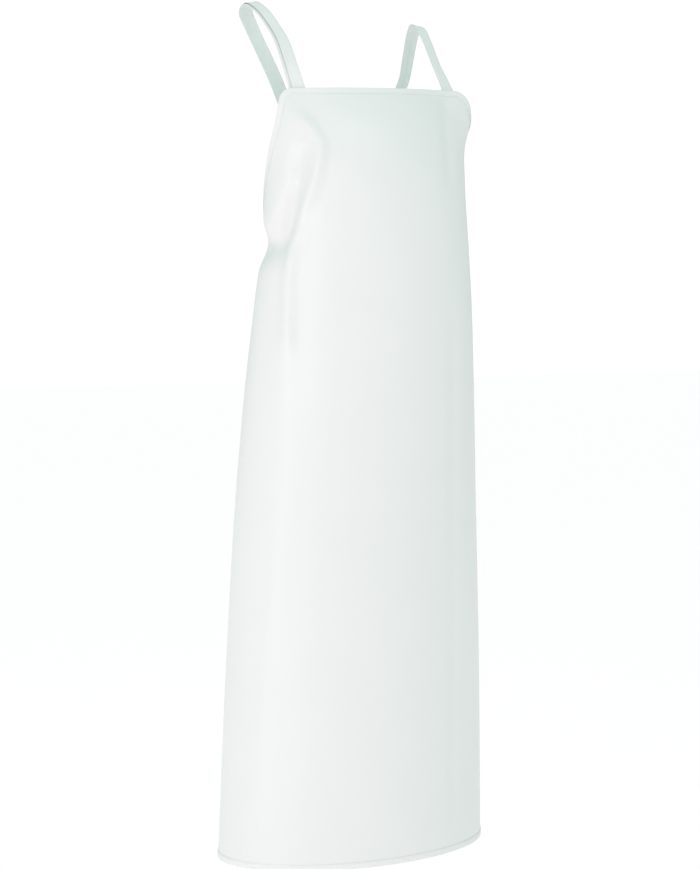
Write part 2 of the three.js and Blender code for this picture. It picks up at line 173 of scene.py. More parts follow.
STUD_ACROSS = (APRON_HALF_WIDTH - 45, APRON_HALF_WIDTH - TAPE_WIDTH)
STUD_DOWN = (WAIST_DROP + 7, WAIST_DROP + 47)
STUD_FLAT_RADIUS = 9.0
STUD_EASE_RADIUS = 24.0


def stud_frame(side):
    """Centre, outward way and upward way of the press stud on one side."""
    corners = [wrapped(side * a, d) for d in STUD_DOWN for a in STUD_ACROSS]
    centre = np.mean(corners, axis=0)
    out = unit(np.cross(corners[3] - corners[0], corners[1] - corners[2]))
    out = out * np.sign(out[1])
    up = np.array([0.0, 0.0, 1.0])
    return centre, out, unit(up - out * up.dot(out))


STUDS = {word: stud_frame(side) for word, side in SIDES.items()}


def hang(across, down):
    """Places on the panel's middle surface, pressed flat round each stud."""
    place = wrapped(across, down)
    for centre, out, up in STUDS.values():
        offset = place - centre
        height = offset @ out
        radius = np.linalg.norm(offset - height[..., None] * out, axis=-1)
        ease = np.clip((STUD_EASE_RADIUS - radius) / (STUD_EASE_RADIUS - STUD_FLAT_RADIUS), 0, 1)
        ease = ease * ease * (3 - 2 * ease) * (np.abs(height) < STUD_EASE_RADIUS)
        place = place - (height * ease)[..., None] * out
    return place


NORMAL_STEP = 1.5


def hang_normal(across, down):
    across, down = np.asarray(across), np.asarray(down)
    across_way = hang(across + NORMAL_STEP, down) - hang(across - NORMAL_STEP, down)
    down_way = hang(across, down + NORMAL_STEP) - hang(across, down - NORMAL_STEP)
    return unit(np.cross(down_way, across_way))


# ---- small tools ----
def only(obj):
    """Selects one object and nothing else."""
    bpy.ops.object.select_all(action="DESELECT")
    obj.select_set(True)
    bpy.context.view_layer.objects.active = obj


def smooth(obj, angle):
    only(obj)
    bpy.ops.object.shade_smooth_by_angle(angle=math.radians(angle))


def mesh_piece(name, points, faces, materials, uvs=None, face_material=None):
    """A new mesh from places in millimetres, with its flat places as a map where the weave follows them."""
    mesh = bpy.data.meshes.new(name)
    mesh.from_pydata((np.asarray(points) * MM).tolist(), [], [list(map(int, f)) for f in faces])
    for material in materials:
        mesh.materials.append(material)
    if uvs is not None:
        layer = mesh.uv_layers.new(name="cloth")
        loops = np.empty(len(mesh.loops), int)
        mesh.loops.foreach_get("vertex_index", loops)
        layer.data.foreach_set("uv", (np.asarray(uvs)[loops] * MM).ravel())
    if face_material is not None:
        mesh.polygons.foreach_set("material_index", np.asarray(face_material, np.int32))
    mesh.update()
    obj = bpy.data.objects.new(name, mesh)
    bpy.context.collection.objects.link(obj)
    return obj


def strip_faces(rings, around):
    """Quads of a strip made of closed rings of points, with its two ends filled."""
    faces = []
    for k in range(rings - 1):
        for i in range(around):
            a = k * around + i
            b = k * around + (i + 1) % around
            faces.append((a, b, b + around, a + around))
    faces.append(tuple(reversed(range(around))))
    faces.append(tuple((rings - 1) * around + i for i in range(around)))
    return faces


def sheet_faces(rows, columns):
    """Quads of a two-layer sheet, outer and inner in turn, then the rim's; and a 1 for each inner one."""
    count = rows * columns
    faces = []
    for i in range(rows - 1):
        for j in range(columns - 1):
            a = i * columns + j
            faces.append((a, a + columns, a + columns + 1, a + 1))
            faces.append((count + a, count + a + 1, count + a + columns + 1, count + a + columns))
    top = list(range(columns))
    right = [i * columns + columns - 1 for i in range(1, rows)]
    bottom = [(rows - 1) * columns + j for j in range(columns - 2, -1, -1)]
    left = [i * columns for i in range(rows - 2, 0, -1)]
    rim = top + right + bottom + left
    inner = [0, 1] * (len(faces) // 2) + [0] * len(rim)
    faces += [(a, b, count + b, count + a) for a, b in zip(rim, rim[1:] + rim[:1])]
    return faces, inner


def outward(obj):
    """Turns every face to the outside."""
    only(obj)
    bpy.ops.object.mode_set(mode="EDIT")
    bpy.ops.mesh.select_all(action="SELECT")
    bpy.ops.mesh.normals_make_consistent(inside=False)
    bpy.ops.object.mode_set(mode="OBJECT")


# ---- materials: noise scales are per metre, depths in metres ----
GRAIN_SCALE = 1400.0
GRAIN_DEPTH = 0.00004
UNEVEN_SCALE = 22.0
UNEVEN_DEPTH = 0.0006
YARN_SCALE = 420.0
YARN_DEPTH = 0.00012


def new_material(name, base, roughness, specular=0.5, sheen=0.0, metallic=0.0):
    material = bpy.data.materials.new(name)
    material.use_nodes = True
    nodes, links = material.node_tree.nodes, material.node_tree.links
    shader = nodes["Principled BSDF"]
    shader.inputs["Base Color"].default_value = (*base, 1)
    shader.inputs["Roughness"].default_value = roughness
    shader.inputs["Specular IOR Level"].default_value = specular
    shader.inputs["Metallic"].default_value = metallic
    shader.inputs["Sheen Weight"].default_value = sheen
    shader.inputs["Sheen Roughness"].default_value = 0.5
    return material, nodes, links, shader


def vary(nodes, links, vector, scale, low, high, socket, detail=3.0):
    """Drives a colour or number socket by noise between two values."""
    noise = nodes.new("ShaderNodeTexNoise")
    noise.inputs["Scale"].default_value = scale
    noise.inputs["Detail"].default_value = detail
    links.new(vector, noise.inputs["Vector"])
    ramp = nodes.new("ShaderNodeValToRGB")
    ramp.color_ramp.elements[0].position = 0.3
    ramp.color_ramp.elements[1].position = 0.7
    for element, end in zip(ramp.color_ramp.elements, (low, high)):
        element.color = (*end, 1) if isinstance(end, tuple) else (end, end, end, 1)
    links.new(noise.outputs["Fac"], ramp.inputs["Fac"])
    links.new(ramp.outputs["Color"], socket)


def bump(nodes, links, height, distance, strength=1.0, under=None):
    """Relief from a height, over any relief already made."""
    node = nodes.new("ShaderNodeBump")
    node.inputs["Distance"].default_value = distance
    node.inputs["Strength"].default_value = strength
    links.new(height, node.inputs["Height"])
    if under is not None:
        links.new(under, node.inputs["Normal"])
    return node.outputs["Normal"]


def noise_height(nodes, links, vector, scale, detail=2.0):
    noise = nodes.new("ShaderNodeTexNoise")
    noise.inputs["Scale"].default_value = scale
    noise.inputs["Detail"].default_value = detail
    links.new(vector, noise.inputs["Vector"])
    return noise.outputs["Fac"]


def coated_fabric(name, base=(0.832, 0.842, 0.838), shade=(0.82, 0.832, 0.828), roughness=(0.36, 0.44)):
    """The smooth coated face: a fine pressed grain over slight unevenness, with a satin gloss."""
    material, nodes, links, shader = new_material(name, base, roughness=0.4)
    place = nodes.new("ShaderNodeTexCoord").outputs["Object"]
    vary(nodes, links, place, 9.0, shade, base, shader.inputs["Base Color"])
    vary(nodes, links, place, 60.0, roughness[0], roughness[1], shader.inputs["Roughness"])
    grain = nodes.new("ShaderNodeTexVoronoi")
    grain.inputs["Scale"].default_value = GRAIN_SCALE
    links.new(place, grain.inputs["Vector"])
    fine = bump(nodes, links, grain.outputs["Distance"], distance=GRAIN_DEPTH)
    waves = noise_height(nodes, links, place, UNEVEN_SCALE)
    uneven = bump(nodes, links, waves, distance=UNEVEN_DEPTH, strength=0.5, under=fine)
    links.new(uneven, shader.inputs["Normal"])
    return material


def woven_back(name):
    """The uncoated reverse: a plain weave of fine yarns, matt."""
    material, nodes, links, shader = new_material(name, (0.84, 0.86, 0.85), 0.8, specular=0.25, sheen=0.15)
    cloth = nodes.new("ShaderNodeUVMap")
    cloth.uv_map = "cloth"
    heights = []
    for direction in ("X", "Y"):
        yarn = nodes.new("ShaderNodeTexWave")
        yarn.wave_type = "BANDS"
        yarn.bands_direction = direction
        yarn.inputs["Scale"].default_value = YARN_SCALE
        yarn.inputs["Distortion"].default_value = 0.6
        links.new(cloth.outputs["UV"], yarn.inputs["Vector"])
        heights.append(yarn.outputs["Fac"])
    weave = nodes.new("ShaderNodeMath")
    weave.operation = "MAXIMUM"
    links.new(heights[0], weave.inputs[0])
    links.new(heights[1], weave.inputs[1])
    vary(nodes, links, cloth.outputs["UV"], 700.0, (0.80, 0.825, 0.815), (0.87, 0.885, 0.88),
         shader.inputs["Base Color"])
    links.new(bump(nodes, links, weave.outputs[0], distance=YARN_DEPTH), shader.inputs["Normal"])
    return material


def painted_gap_shade(name):
    """Painted shadow: a dark grey, speckled colour along the top layer's outer edge, standing in for the
    shadow in the gap under its lifted edge.
    """
    material, nodes, links, shader = new_material(name, (0.30, 0.34, 0.33), 0.85, specular=0.2, sheen=0.1)
    place = nodes.new("ShaderNodeTexCoord").outputs["Object"]
    vary(nodes, links, place, 1200.0, (0.20, 0.24, 0.23), (0.42, 0.46, 0.45), shader.inputs["Base Color"])
    fibres = noise_height(nodes, links, place, scale=3000.0)
    links.new(bump(nodes, links, fibres, distance=0.0002), shader.inputs["Normal"])
    return material


def thread_material():
    """Spun thread: slightly hairy, each stitch a little lighter or darker."""
    material, nodes, links, shader = new_material("white_thread", (0.80, 0.83, 0.82), 0.65,
                                                  specular=0.3, sheen=0.2)
    place = nodes.new("ShaderNodeTexCoord").outputs["Object"]
    vary(nodes, links, place, 900.0, (0.74, 0.78, 0.77), (0.86, 0.88, 0.87), shader.inputs["Base Color"])
    fibres = noise_height(nodes, links, place, scale=5000.0)
    links.new(bump(nodes, links, fibres, distance=0.0001), shader.inputs["Normal"])
    return material


def nickel_material():
    """Bright plate, rubbed unevenly so that its gloss varies."""
    material, nodes, links, shader = new_material("nickel_plate", (0.72, 0.73, 0.74), 0.25, metallic=1.0)
    place = nodes.new("ShaderNodeTexCoord").outputs["Object"]
    vary(nodes, links, place, 900.0, 0.2, 0.36, shader.inputs["Roughness"])
    scuffs = noise_height(nodes, links, place, scale=2500.0)
    links.new(bump(nodes, links, scuffs, distance=0.00003), shader.inputs["Normal"])
    return material


FACE = coated_fabric("coated_face")
TAPE = coated_fabric("tape_face", (0.842, 0.852, 0.848), (0.83, 0.842, 0.838), (0.42, 0.52))
STRAP = coated_fabric("strap_face", roughness=(0.4, 0.5))
# painted shade: the strap's underside gets a darker, greener coating that stands in for the shade it lies in
STRAP_UNDER_PAINTED_SHADE = coated_fabric("strap_underside_painted_shade", (0.74, 0.815, 0.785), (0.72, 0.80, 0.77), (0.5, 0.6))
BACK = woven_back("woven_back")
# painted shadow: a near-black material standing in for the shade in the gap under the strap's lifted top
# layer
GAP_SHADE_PAINT = painted_gap_shade("painted_gap_shade")
THREAD = thread_material()
NICKEL = nickel_material()

# ---- camera, light and floor ----
CAMERA_AZIMUTH = math.radians(-32.0)
CAMERA_DISTANCE = 3.5
CAMERA_HEIGHT = -0.432
AXIS_DEPTH = -0.042
LENS = 114.017
LENS_SHIFT = -0.2107
SENSOR = 36.0
FAR_CLIP = 60.0
LIGHT_CENTRE = Vector((0, -0.05, -0.65))
FILL = 0.69
FILL_LEFT_LEAN = 0.08
FILL_TOP_LEAN = 0.14
FILL_COLOUR = (0.83, 1.0, 0.935, 1)
BACKDROP_WHITE = 1.05
FLOOR_Z = -1.56
FLOOR_SIZE = 40.0
FLOOR_GLOW = 0.46
FLOOR_GLOW_COLOUR = (1, 0.78, 0.88, 1)


def aim(obj, place, target):
    obj.location = place
    obj.rotation_euler = (Vector(target) - Vector(place)).to_track_quat("-Z", "Y").to_euler()


def add_camera():
    data = bpy.data.cameras.new("camera")
    camera = bpy.data.objects.new("camera", data)
    bpy.context.collection.objects.link(camera)
    data.sensor_fit = "HORIZONTAL"
    data.sensor_width = SENSOR
    data.lens = LENS
    data.shift_y = LENS_SHIFT
    data.clip_end = FAR_CLIP
    place = (CAMERA_DISTANCE * math.sin(CAMERA_AZIMUTH),
             AXIS_DEPTH - CAMERA_DISTANCE * math.cos(CAMERA_AZIMUTH),
             CAMERA_HEIGHT)
    aim(camera, place, (0, AXIS_DEPTH, CAMERA_HEIGHT))
    bpy.context.scene.camera = camera


def softbox(name, azimuth, height, distance, size, power, colour):
    """A rectangular light turned to the apron's middle, placed by angle, height and distance from it."""
    data = bpy.data.lights.new(name, "AREA")
    data.shape = "RECTANGLE"
    data.size, data.size_y = size
    data.energy = power
    data.color = colour
    light = bpy.data.objects.new(name, data)
    bpy.context.collection.objects.link(light)
    angle = math.radians(azimuth)
    away = Vector((distance * math.sin(angle), -distance * math.cos(angle), height))
    aim(light, LIGHT_CENTRE + away, LIGHT_CENTRE)


def add_softboxes():
    softbox("key_softbox", azimuth=-58, height=0.1, distance=2.6, size=(1.4, 2.2), power=15.8,
            colour=(1.0, 0.71, 0.83))
    softbox("top_softbox", azimuth=5, height=1.6, distance=1.1, size=(1.0, 0.7), power=3.0,
            colour=(1.0, 0.92, 0.95))


def add_surround():
    """A pale surround that leans brighter to the left and the top, and looks plain white to the camera."""
    world = bpy.data.worlds.new("studio")
    world.use_nodes = True
    bpy.context.scene.world = world
    nodes, links = world.node_tree.nodes, world.node_tree.links
    surround = nodes["Background"]
    surround.inputs["Color"].default_value = FILL_COLOUR
    direction = nodes.new("ShaderNodeTexCoord").outputs["Generated"]
    lean = nodes.new("ShaderNodeVectorMath")
    lean.operation = "DOT_PRODUCT"
    lean.inputs[1].default_value = (-FILL_LEFT_LEAN, 0, FILL_TOP_LEAN)
    links.new(direction, lean.inputs[0])
    fill = nodes.new("ShaderNodeMath")
    fill.operation = "ADD"
    fill.inputs[1].default_value = FILL
    links.new(lean.outputs["Value"], fill.inputs[0])
    links.new(fill.outputs[0], surround.inputs["Strength"])
    white = nodes.new("ShaderNodeBackground")
    white.inputs["Color"].default_value = (1, 1, 1, 1)
    white.inputs["Strength"].default_value = BACKDROP_WHITE
    seen = nodes.new("ShaderNodeLightPath")
    mix = nodes.new("ShaderNodeMixShader")
    links.new(seen.outputs["Is Camera Ray"], mix.inputs["Fac"])
    links.new(surround.outputs[0], mix.inputs[1])
    links.new(white.outputs[0], mix.inputs[2])
    links.new(mix.outputs[0], nodes["World Output"].inputs["Surface"])


def add_floor():
    bpy.ops.mesh.primitive_plane_add(size=FLOOR_SIZE, location=(0, 0, FLOOR_Z))
    floor = bpy.context.object
    floor.name = "floor"
    material, nodes, links, shader = new_material("pale_floor", (0.8, 0.8, 0.8), 0.9, specular=0.1)
    shader.inputs["Emission Color"].default_value = FLOOR_GLOW_COLOUR
    shader.inputs["Emission Strength"].default_value = FLOOR_GLOW
    floor.data.materials.append(material)


bpy.context.scene.view_settings.view_transform = "Standard"
bpy.context.scene.view_settings.look = "None"
add_camera()
add_softboxes()
add_surround()
add_floor()

# ---- the panel ----
PANEL_COLUMNS = 129
PANEL_ROW_STEP = 6.0
CORNER_ROWS = [0, 1, 2.5, 4.5, 7, 10, 13, BIB_CORNER_RADIUS]


def panel_rows():
    """Distances down the panel, closer together round the bib's corners."""
    first = BIB_CORNER_RADIUS + PANEL_ROW_STEP
    rest = np.arange(first, APRON_LENGTH - PANEL_ROW_STEP / 2, PANEL_ROW_STEP)
    return np.array(CORNER_ROWS + list(rest) + [APRON_LENGTH])


def make_panel():
    """The whole panel as one cloth: the coated face outside, the woven reverse inside."""
    down = panel_rows()
    u = np.linspace(-1, 1, PANEL_COLUMNS)
    across = half_width(down)[:, None] * u[None]
    rows = np.repeat(down[:, None], PANEL_COLUMNS, 1)
    points = hang(across, rows)
    normals = hang_normal(across, rows)
    uv = np.stack([across, rows], -1).reshape(-1, 2)
    layers = [(points + normals * h).reshape(-1, 3) for h in (FABRIC / 2, -FABRIC / 2)]
    faces, inner = sheet_faces(len(down), PANEL_COLUMNS)
    panel = mesh_piece("apron_panel_cloth", np.concatenate(layers), faces, [FACE, BACK],
                       np.concatenate([uv, uv]), inner)
    outward(panel)
    smooth(panel, 60)
    return panel


# ---- edge tape and its stitching ----
TAPE_THICK = 0.7
TAPE_GAP = 0.12
TAPE_UNDER = FABRIC / 2 + TAPE_GAP
TAPE_OVER = TAPE_UNDER + TAPE_THICK
TAPE_STEP = 2.0
PANEL_MIDDLE = (0.0, 500.0)
CORNER_POINTS, ARMHOLE_POINTS, SIDE_POINTS = 24, 120, 200
STITCH_SINK = 0.1
STITCH_INSET = 7.3
STITCH_PITCH = 3.4
STITCH_LENGTH = 2.7
STITCH_RADIUS = 0.26


def resample(points, step):
    """The same line with points an even step apart."""
    points = np.asarray(points, float)
    run = np.concatenate([[0], np.cumsum(np.linalg.norm(np.diff(points, axis=0), axis=1))])
    count = max(2, int(round(run[-1] / step)) + 1)
    at = np.linspace(0, run[-1], count)
    return np.stack([np.interp(at, run, points[:, k]) for k in range(points.shape[1])], -1)


def edge_path(kind, side=1):
    """The panel's edge in the flat, as (across, down) points."""
    if kind == "top":
        end = float(half_width(0.0))
        return np.array([(-end, 0.0), (end, 0.0)])
    if kind == "hem":
        return np.array([(-APRON_HALF_WIDTH, APRON_LENGTH), (APRON_HALF_WIDTH, APRON_LENGTH)])
    if kind == "armhole":
        turn = BIB_CORNER_RADIUS * (1 - np.cos(np.linspace(0, np.pi / 2, CORNER_POINTS)))
        down = np.concatenate([turn, np.linspace(BIB_CORNER_RADIUS, WAIST_DROP, ARMHOLE_POINTS)[1:]])
        return np.stack([side * half_width(down), down], -1)
    down = np.linspace(WAIST_DROP, APRON_LENGTH - TAPE_WIDTH, SIDE_POINTS)
    return np.stack([side * half_width(down), down], -1)


def inward_way(path):
    """The way square to an edge, towards the panel's middle, in the flat."""
    way = unit(np.gradient(path, axis=0))
    normal = np.stack([-way[:, 1], way[:, 0]], -1)
    flip = np.sign(((np.array(PANEL_MIDDLE) - path) * normal).sum(-1))
    return normal * np.where(flip == 0, 1, flip)[:, None]


def tape_section():
    """Closed outline of the folded tape: (inset from the edge, height off the middle surface).

    Its inner edge is rounded, and the row of stitches draws it in.
    """
    mid = (TAPE_UNDER + TAPE_OVER) / 2
    inner_edge = [(TAPE_WIDTH, mid - 0.06), (TAPE_WIDTH - 0.3, TAPE_OVER - 0.16),
                  (TAPE_WIDTH - 0.9, TAPE_OVER - 0.05)]
    drawn_in = [(STITCH_INSET + 0.3, TAPE_OVER - 0.12), (STITCH_INSET, TAPE_OVER - 0.2),
                (STITCH_INSET - 0.4, TAPE_OVER - 0.1)]
    over = inner_edge + drawn_in + [(5.0, TAPE_OVER + 0.02), (2.0, TAPE_OVER), (0.6, TAPE_OVER)]
    turn = [(0.3 - TAPE_OVER * math.sin(a), TAPE_OVER * math.cos(a)) for a in np.radians([15, 40, 65, 90])]
    outer = over + turn + [(x, -h) for x, h in reversed(over + turn[:-1])]
    under = [(TAPE_WIDTH - 0.2, TAPE_UNDER), (4.0, TAPE_UNDER), (0.6, TAPE_UNDER), (0.0, TAPE_UNDER * 0.6)]
    inner = under + [(x, -h) for x, h in reversed(under)]
    return outer + list(reversed(inner))


def on_edge(path, inward, inset, height):
    """A place near the edge, given its inset from the edge and its height off the surface."""
    inside = path + inward * max(inset, 0)
    place = hang(inside[:, 0], inside[:, 1])
    normal = hang_normal(inside[:, 0], inside[:, 1])
    if inset < 0:
        near = path + inward
        place = place + inset * unit(hang(near[:, 0], near[:, 1]) - place)
    return place + normal * height


def make_tape(name, kind, side, node):
    """One folded tape along an edge; returns the edge and the way inward from it."""
    path = resample(edge_path(kind, side), TAPE_STEP)
    inward = inward_way(path)
    section = tape_section()
    rings = np.stack([on_edge(path, inward, inset, height) for inset, height in section], 1)
    piece = mesh_piece(name, rings.reshape(-1, 3), strip_faces(len(path), len(section)), [TAPE])
    outward(piece)
    smooth(piece, 50)
    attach(piece, ROOT)
    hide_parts(node)
    return path, inward


THREAD_SIDES = 6
# (place along the stitch, radius) of each ring of one stitch, as shares of its half length and radius
THREAD_RINGS = [(-0.86, 0.62), (-0.5, 1.0), (0.5, 1.0), (0.86, 0.62)]
THREAD_DIVE = 0.6


def stitch_mesh(centres, ways, normals):
    """Points and faces of a row of short stitches whose ends dive into the cloth."""
    sides = unit(np.cross(normals, ways))
    half, radius, n = STITCH_LENGTH / 2, STITCH_RADIUS, THREAD_SIDES
    columns = [centres - ways * half - normals * radius]
    for along, wide in THREAD_RINGS:
        dive = radius * (abs(along) > THREAD_DIVE)
        for a in np.arange(n) * 2 * np.pi / n:
            up, out = radius * wide * math.cos(a), radius * wide * math.sin(a)
            columns.append(centres + ways * (half * along) + normals * (up - dive) + sides * out)
    columns.append(centres + ways * half - normals * radius)
    points = np.stack(columns, 1).reshape(-1, 3)
    per = len(columns)
    pattern = [(0, 1 + (i + 1) % n, 1 + i) for i in range(n)]
    for first in range(1, 1 + (len(THREAD_RINGS) - 1) * n, n):
        for i in range(n):
            j = (i + 1) % n
            pattern.append((first + i, first + j, first + n + j, first + n + i))
    last = per - 1 - n
    pattern += [(per - 1, last + i, last + (i + 1) % n) for i in range(n)]
    faces = [tuple(s * per + v for v in face) for s in range(len(centres)) for face in pattern]
    return points, faces


def stitches_on_edge(path, inward, height):
    """A row of stitches along a tape, on the face of the panel that the height's sign gives."""
    line = resample(path + inward * STITCH_INSET, STITCH_PITCH)
    ahead = line + unit(np.gradient(line, axis=0))
    centres = hang(line[:, 0], line[:, 1])
    normals = hang_normal(line[:, 0], line[:, 1]) * np.sign(height)
    ways = unit(hang(ahead[:, 0], ahead[:, 1]) - centres)
    return stitch_mesh(centres + normals * abs(height), ways, normals)


def join_parts(parts):
    """Several meshes' points and faces as one mesh's."""
    points, faces, first = [], [], 0
    for p, f in parts:
        points.append(p)
        faces += [tuple(first + v for v in face) for face in f]
        first += len(p)
    return np.concatenate(points), faces


def edge_tapes():
    """The node, kind and side of each tape."""
    tapes = [("bib_top_binding", "top", 1), ("hem_binding", "hem", 1)]
    for word, side in SIDES.items():
        tapes += [(f"{kind}_binding_{word}", kind, side) for kind in ("armhole", "side")]
    return tapes


def make_edges():
    rows = []
    for name, kind, side in edge_tapes():
        path, inward = make_tape(f"{name}_tape", kind, side, name)
        for face in (1, -1):
            rows.append(stitches_on_edge(path, inward, face * (TAPE_OVER - STITCH_SINK)))
    piece = mesh_piece("edge_stitching", *join_parts(rows), [THREAD])
    smooth(piece, 60)
    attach(piece, ROOT)


panel = make_panel()
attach(panel, ROOT)
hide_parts("apron_panel")
make_edges()

# ---- shoulder straps: a strip folded double, the under layer a little proud at its outer edge ----
# each step is a place and the way that the strap's width points there, from the bib to the other side's stud
STRAP_ROUTES = {
    "right": [
        ((-137, -87, -91), (-1, 0.3, 0)),
        ((-136, -60, -52), (-1, 0.15, -0.05)),
        ((-139, -42, -30), (-1, 0, -0.12)),
        ((-149, -18, -1), (-1, -0.05, -0.2)),
        ((-156, 5, 11), (-1, 0, -0.2)),
        ((-152, 24, 0), (-1, 0, -0.15)),
        ((-139, 29, -23), (-1, -0.05, -0.2)),
        ((-95, 25, -109), (-0.95, -0.02, -0.4)),
        ((-45, 38, -205), (-0.88, 0.03, -0.46)),
        ((8, 46, -292), (-0.84, 0.05, -0.52)),
        ((52, 42, -365), (-0.75, 0.25, -0.6)),
    ],
    "left": [
        ((138, -80, -75), (1, 0.4, -0.05)),
        ((144, -44, -33), (1, 0.32, -0.1)),
        ((149, -19, -12), (1, 0.2, -0.12)),
        ((153, 0, -8), (1, 0.1, -0.12)),
        ((155, 15, -24), (1, 0.12, -0.1)),
        ((150, 20, -62), (1, 0.2, 0)),
        ((141, 21, -100), (0.95, 0.3, -0.2)),
        ((102, 43, -186), (0.9, 0.25, -0.38)),
        ((40, 56, -268), (0.8, 0.05, -0.58)),
        ((-20, 53, -340), (0.7, 0.12, -0.7)),
        ((-56, 44, -384), (0.63, 0.25, -0.73)),
    ],
}
STRAP_STEPS = 300
FINE_STEPS = 4000
STRAP_HEIGHT_ON_STUD = 5.9
STRAP_END_ON_STUD = (-24, -8, 8, 14)
STRAP_HALF_THICK = 1.05
STRAP_LAYER_STEP = 5.0
LIFT_REACH = 6.0
OTHER_SIDE = {"right": "left", "left": "right"}


def strap_points(word):
    """The whole route: sewn flat behind the bib, over the shoulder and flat onto the other side's stud."""
    side = SIDES[word]
    base = side * STRAP_BASE
    points, widths = [], []
    for down in (STRAP_SEWN_LENGTH, STRAP_SEWN_LENGTH / 2, 0):
        points.append(hang(base, down) - STRAP_SET_IN * hang_normal(base, down))
        widths.append(hang(base + side, down) - hang(base, down))
    for point, width in STRAP_ROUTES[word]:
        points.append(np.array(point, float))
        widths.append(np.array(width, float))
    centre, out, up = STUDS[OTHER_SIDE[word]]
    top = centre + STRAP_HEIGHT_ON_STUD * out
    way = top - points[-1]
    way = unit(way - way.dot(out) * out)
    width = unit(np.cross(out, way))
    width = width * np.sign(width.dot(widths[-1]))
    for along in STRAP_END_ON_STUD:
        points.append(top + way * along)
        widths.append(width)
    return np.array(points), unit(np.array(widths))


def centripetal(points, u):
    """A centripetal Catmull-Rom curve, with u from 0 to 1 shared evenly by its stretches."""
    ends = np.vstack([2 * points[0] - points[1], points, 2 * points[-1] - points[-2]])
    place = u * (len(points) - 1)
    k = np.minimum(place.astype(int), len(points) - 2)
    t = (place - k)[:, None]
    p0, p1, p2, p3 = (ends[k + i] for i in range(4))
    gaps = (p1 - p0, p2 - p1, p3 - p2)
    d0, d1, d2 = (np.sqrt(np.linalg.norm(gap, axis=1, keepdims=True)) for gap in gaps)
    m1 = ((p1 - p0) / d0 - (p2 - p0) / (d0 + d1) + (p2 - p1) / d1) * d1
    m2 = ((p2 - p1) / d1 - (p3 - p1) / (d1 + d2) + (p3 - p2) / d2) * d1
    return ((2 * t**3 - 3 * t**2 + 1) * p1 + (t**3 - 2 * t**2 + t) * m1
            + (3 * t**2 - 2 * t**3) * p2 + (t**3 - t**2) * m2)


def strap_frames(word):
    """Places along the strap with the ways along it, across it (outward) and off its outer face."""
    points, widths = strap_points(word)
    fine = np.linspace(0, 1, FINE_STEPS + 1)
    curve = centripetal(points, fine)
    run = np.concatenate([[0], np.cumsum(np.linalg.norm(np.diff(curve, axis=0), axis=1))])
    at = np.interp(np.linspace(0, run[-1], STRAP_STEPS + 1), run, fine)
    centre = centripetal(points, at)
    way = unit(np.gradient(centre, axis=0))
    place = at * (len(points) - 1)
    k = np.minimum(place.astype(int), len(points) - 2)
    u = (place - k)[:, None]
    across = widths[k] * (1 - u) + widths[k + 1] * u
    across = unit(across - (across * way).sum(-1, keepdims=True) * way)
    off = np.cross(way, across) * -SIDES[word]
    return centre, way, across, unit(off), run[-1]


def strap_layer(low, high, inner, outer, lift=0.0, seam=0.0, seam_at=0.0):
    """Closed outline of one fabric layer as (across, off) points.

    Its edges are rounded, its outer edge may lift, and a seam may step along its underside.
    """
    r = (high - low) / 2
    mid = (high + low) / 2
    middle = (inner + outer) / 2
    turn = np.radians([0, 30, 60, 90])
    outer_top = [(outer - r + r * math.cos(a), mid + r * math.sin(a)) for a in turn]
    inner_top = [(inner + r - r * math.cos(a), mid + r * math.sin(a)) for a in turn[::-1]]
    inner_under = [(x, 2 * mid - h) for x, h in inner_top[::-1][1:]]
    outer_under = [(x, 2 * mid - h) for x, h in outer_top[::-1][:-1]]
    top = [(middle + k, high) for k in (7.5, 5.0, 0.0, -5.0)]
    seam_steps = [(-2.0, 0), (-0.9, 0), (-0.5, seam), (-0.3, -seam), (0.5, -seam), (0.7, 0), (2.0, 0)]
    under = [(seam_at + x, low + h) for x, h in seam_steps] + [(outer - 4.0, low)]
    outline = outer_top + top + inner_top + inner_under + under + outer_under
    return [(x, h + lift * max(0.0, 1 + (x - outer) / LIFT_REACH) ** 2) for x, h in outline]


STRAP_EDGE = STRAP_WIDTH / 2
STRAP_SEAM_AT = {"right": -STRAP_EDGE + 3.2, "left": 0.0}
STRAP_TOP_EDGE = STRAP_EDGE - STRAP_LAYER_STEP


def strap_layers(word):
    """The under layer with its seam, and the narrower top layer whose outer edge lifts."""
    under = strap_layer(-STRAP_HALF_THICK, -0.15, -STRAP_EDGE, STRAP_EDGE, seam=0.35,
                        seam_at=STRAP_SEAM_AT[word])
    top = strap_layer(0.1, STRAP_HALF_THICK - 0.1, -STRAP_EDGE, STRAP_TOP_EDGE, lift=0.55)
    return [under, top]


STRAP_STITCH_INSET = 2.4
STRAP_STITCH_LIFT = 0.02


def strap_stitches(frames):
    """A row of stitches along each edge of the top layer, seen on both faces."""
    centre, way, across, off, length = frames
    rows = []
    count = int(length / STITCH_PITCH)
    at = (np.arange(1, count) / count) * STRAP_STEPS

    def sample(values):
        k = np.minimum(at.astype(int), STRAP_STEPS - 1)
        u = (at - k)[:, None]
        return values[k] * (1 - u) + values[k + 1] * u

    place, ways, wide, up = sample(centre), unit(sample(way)), unit(sample(across)), unit(sample(off))
    height = STRAP_HALF_THICK + STRAP_STITCH_LIFT
    for inset in (-STRAP_EDGE + STRAP_STITCH_INSET, STRAP_TOP_EDGE - STRAP_STITCH_INSET):
        for face in (1, -1):
            rows.append(stitch_mesh(place + wide * inset + up * (height * face), ways, up * face))
    return rows


STRAP_BASE_ROWS = (46.0, 50.0)
STRAP_END_ROW = 3.2
CROSS_ROW_COUNT = 6
CROSS_ROW_REACH = 8.4
CROSS_ROW_LIFT = 0.04


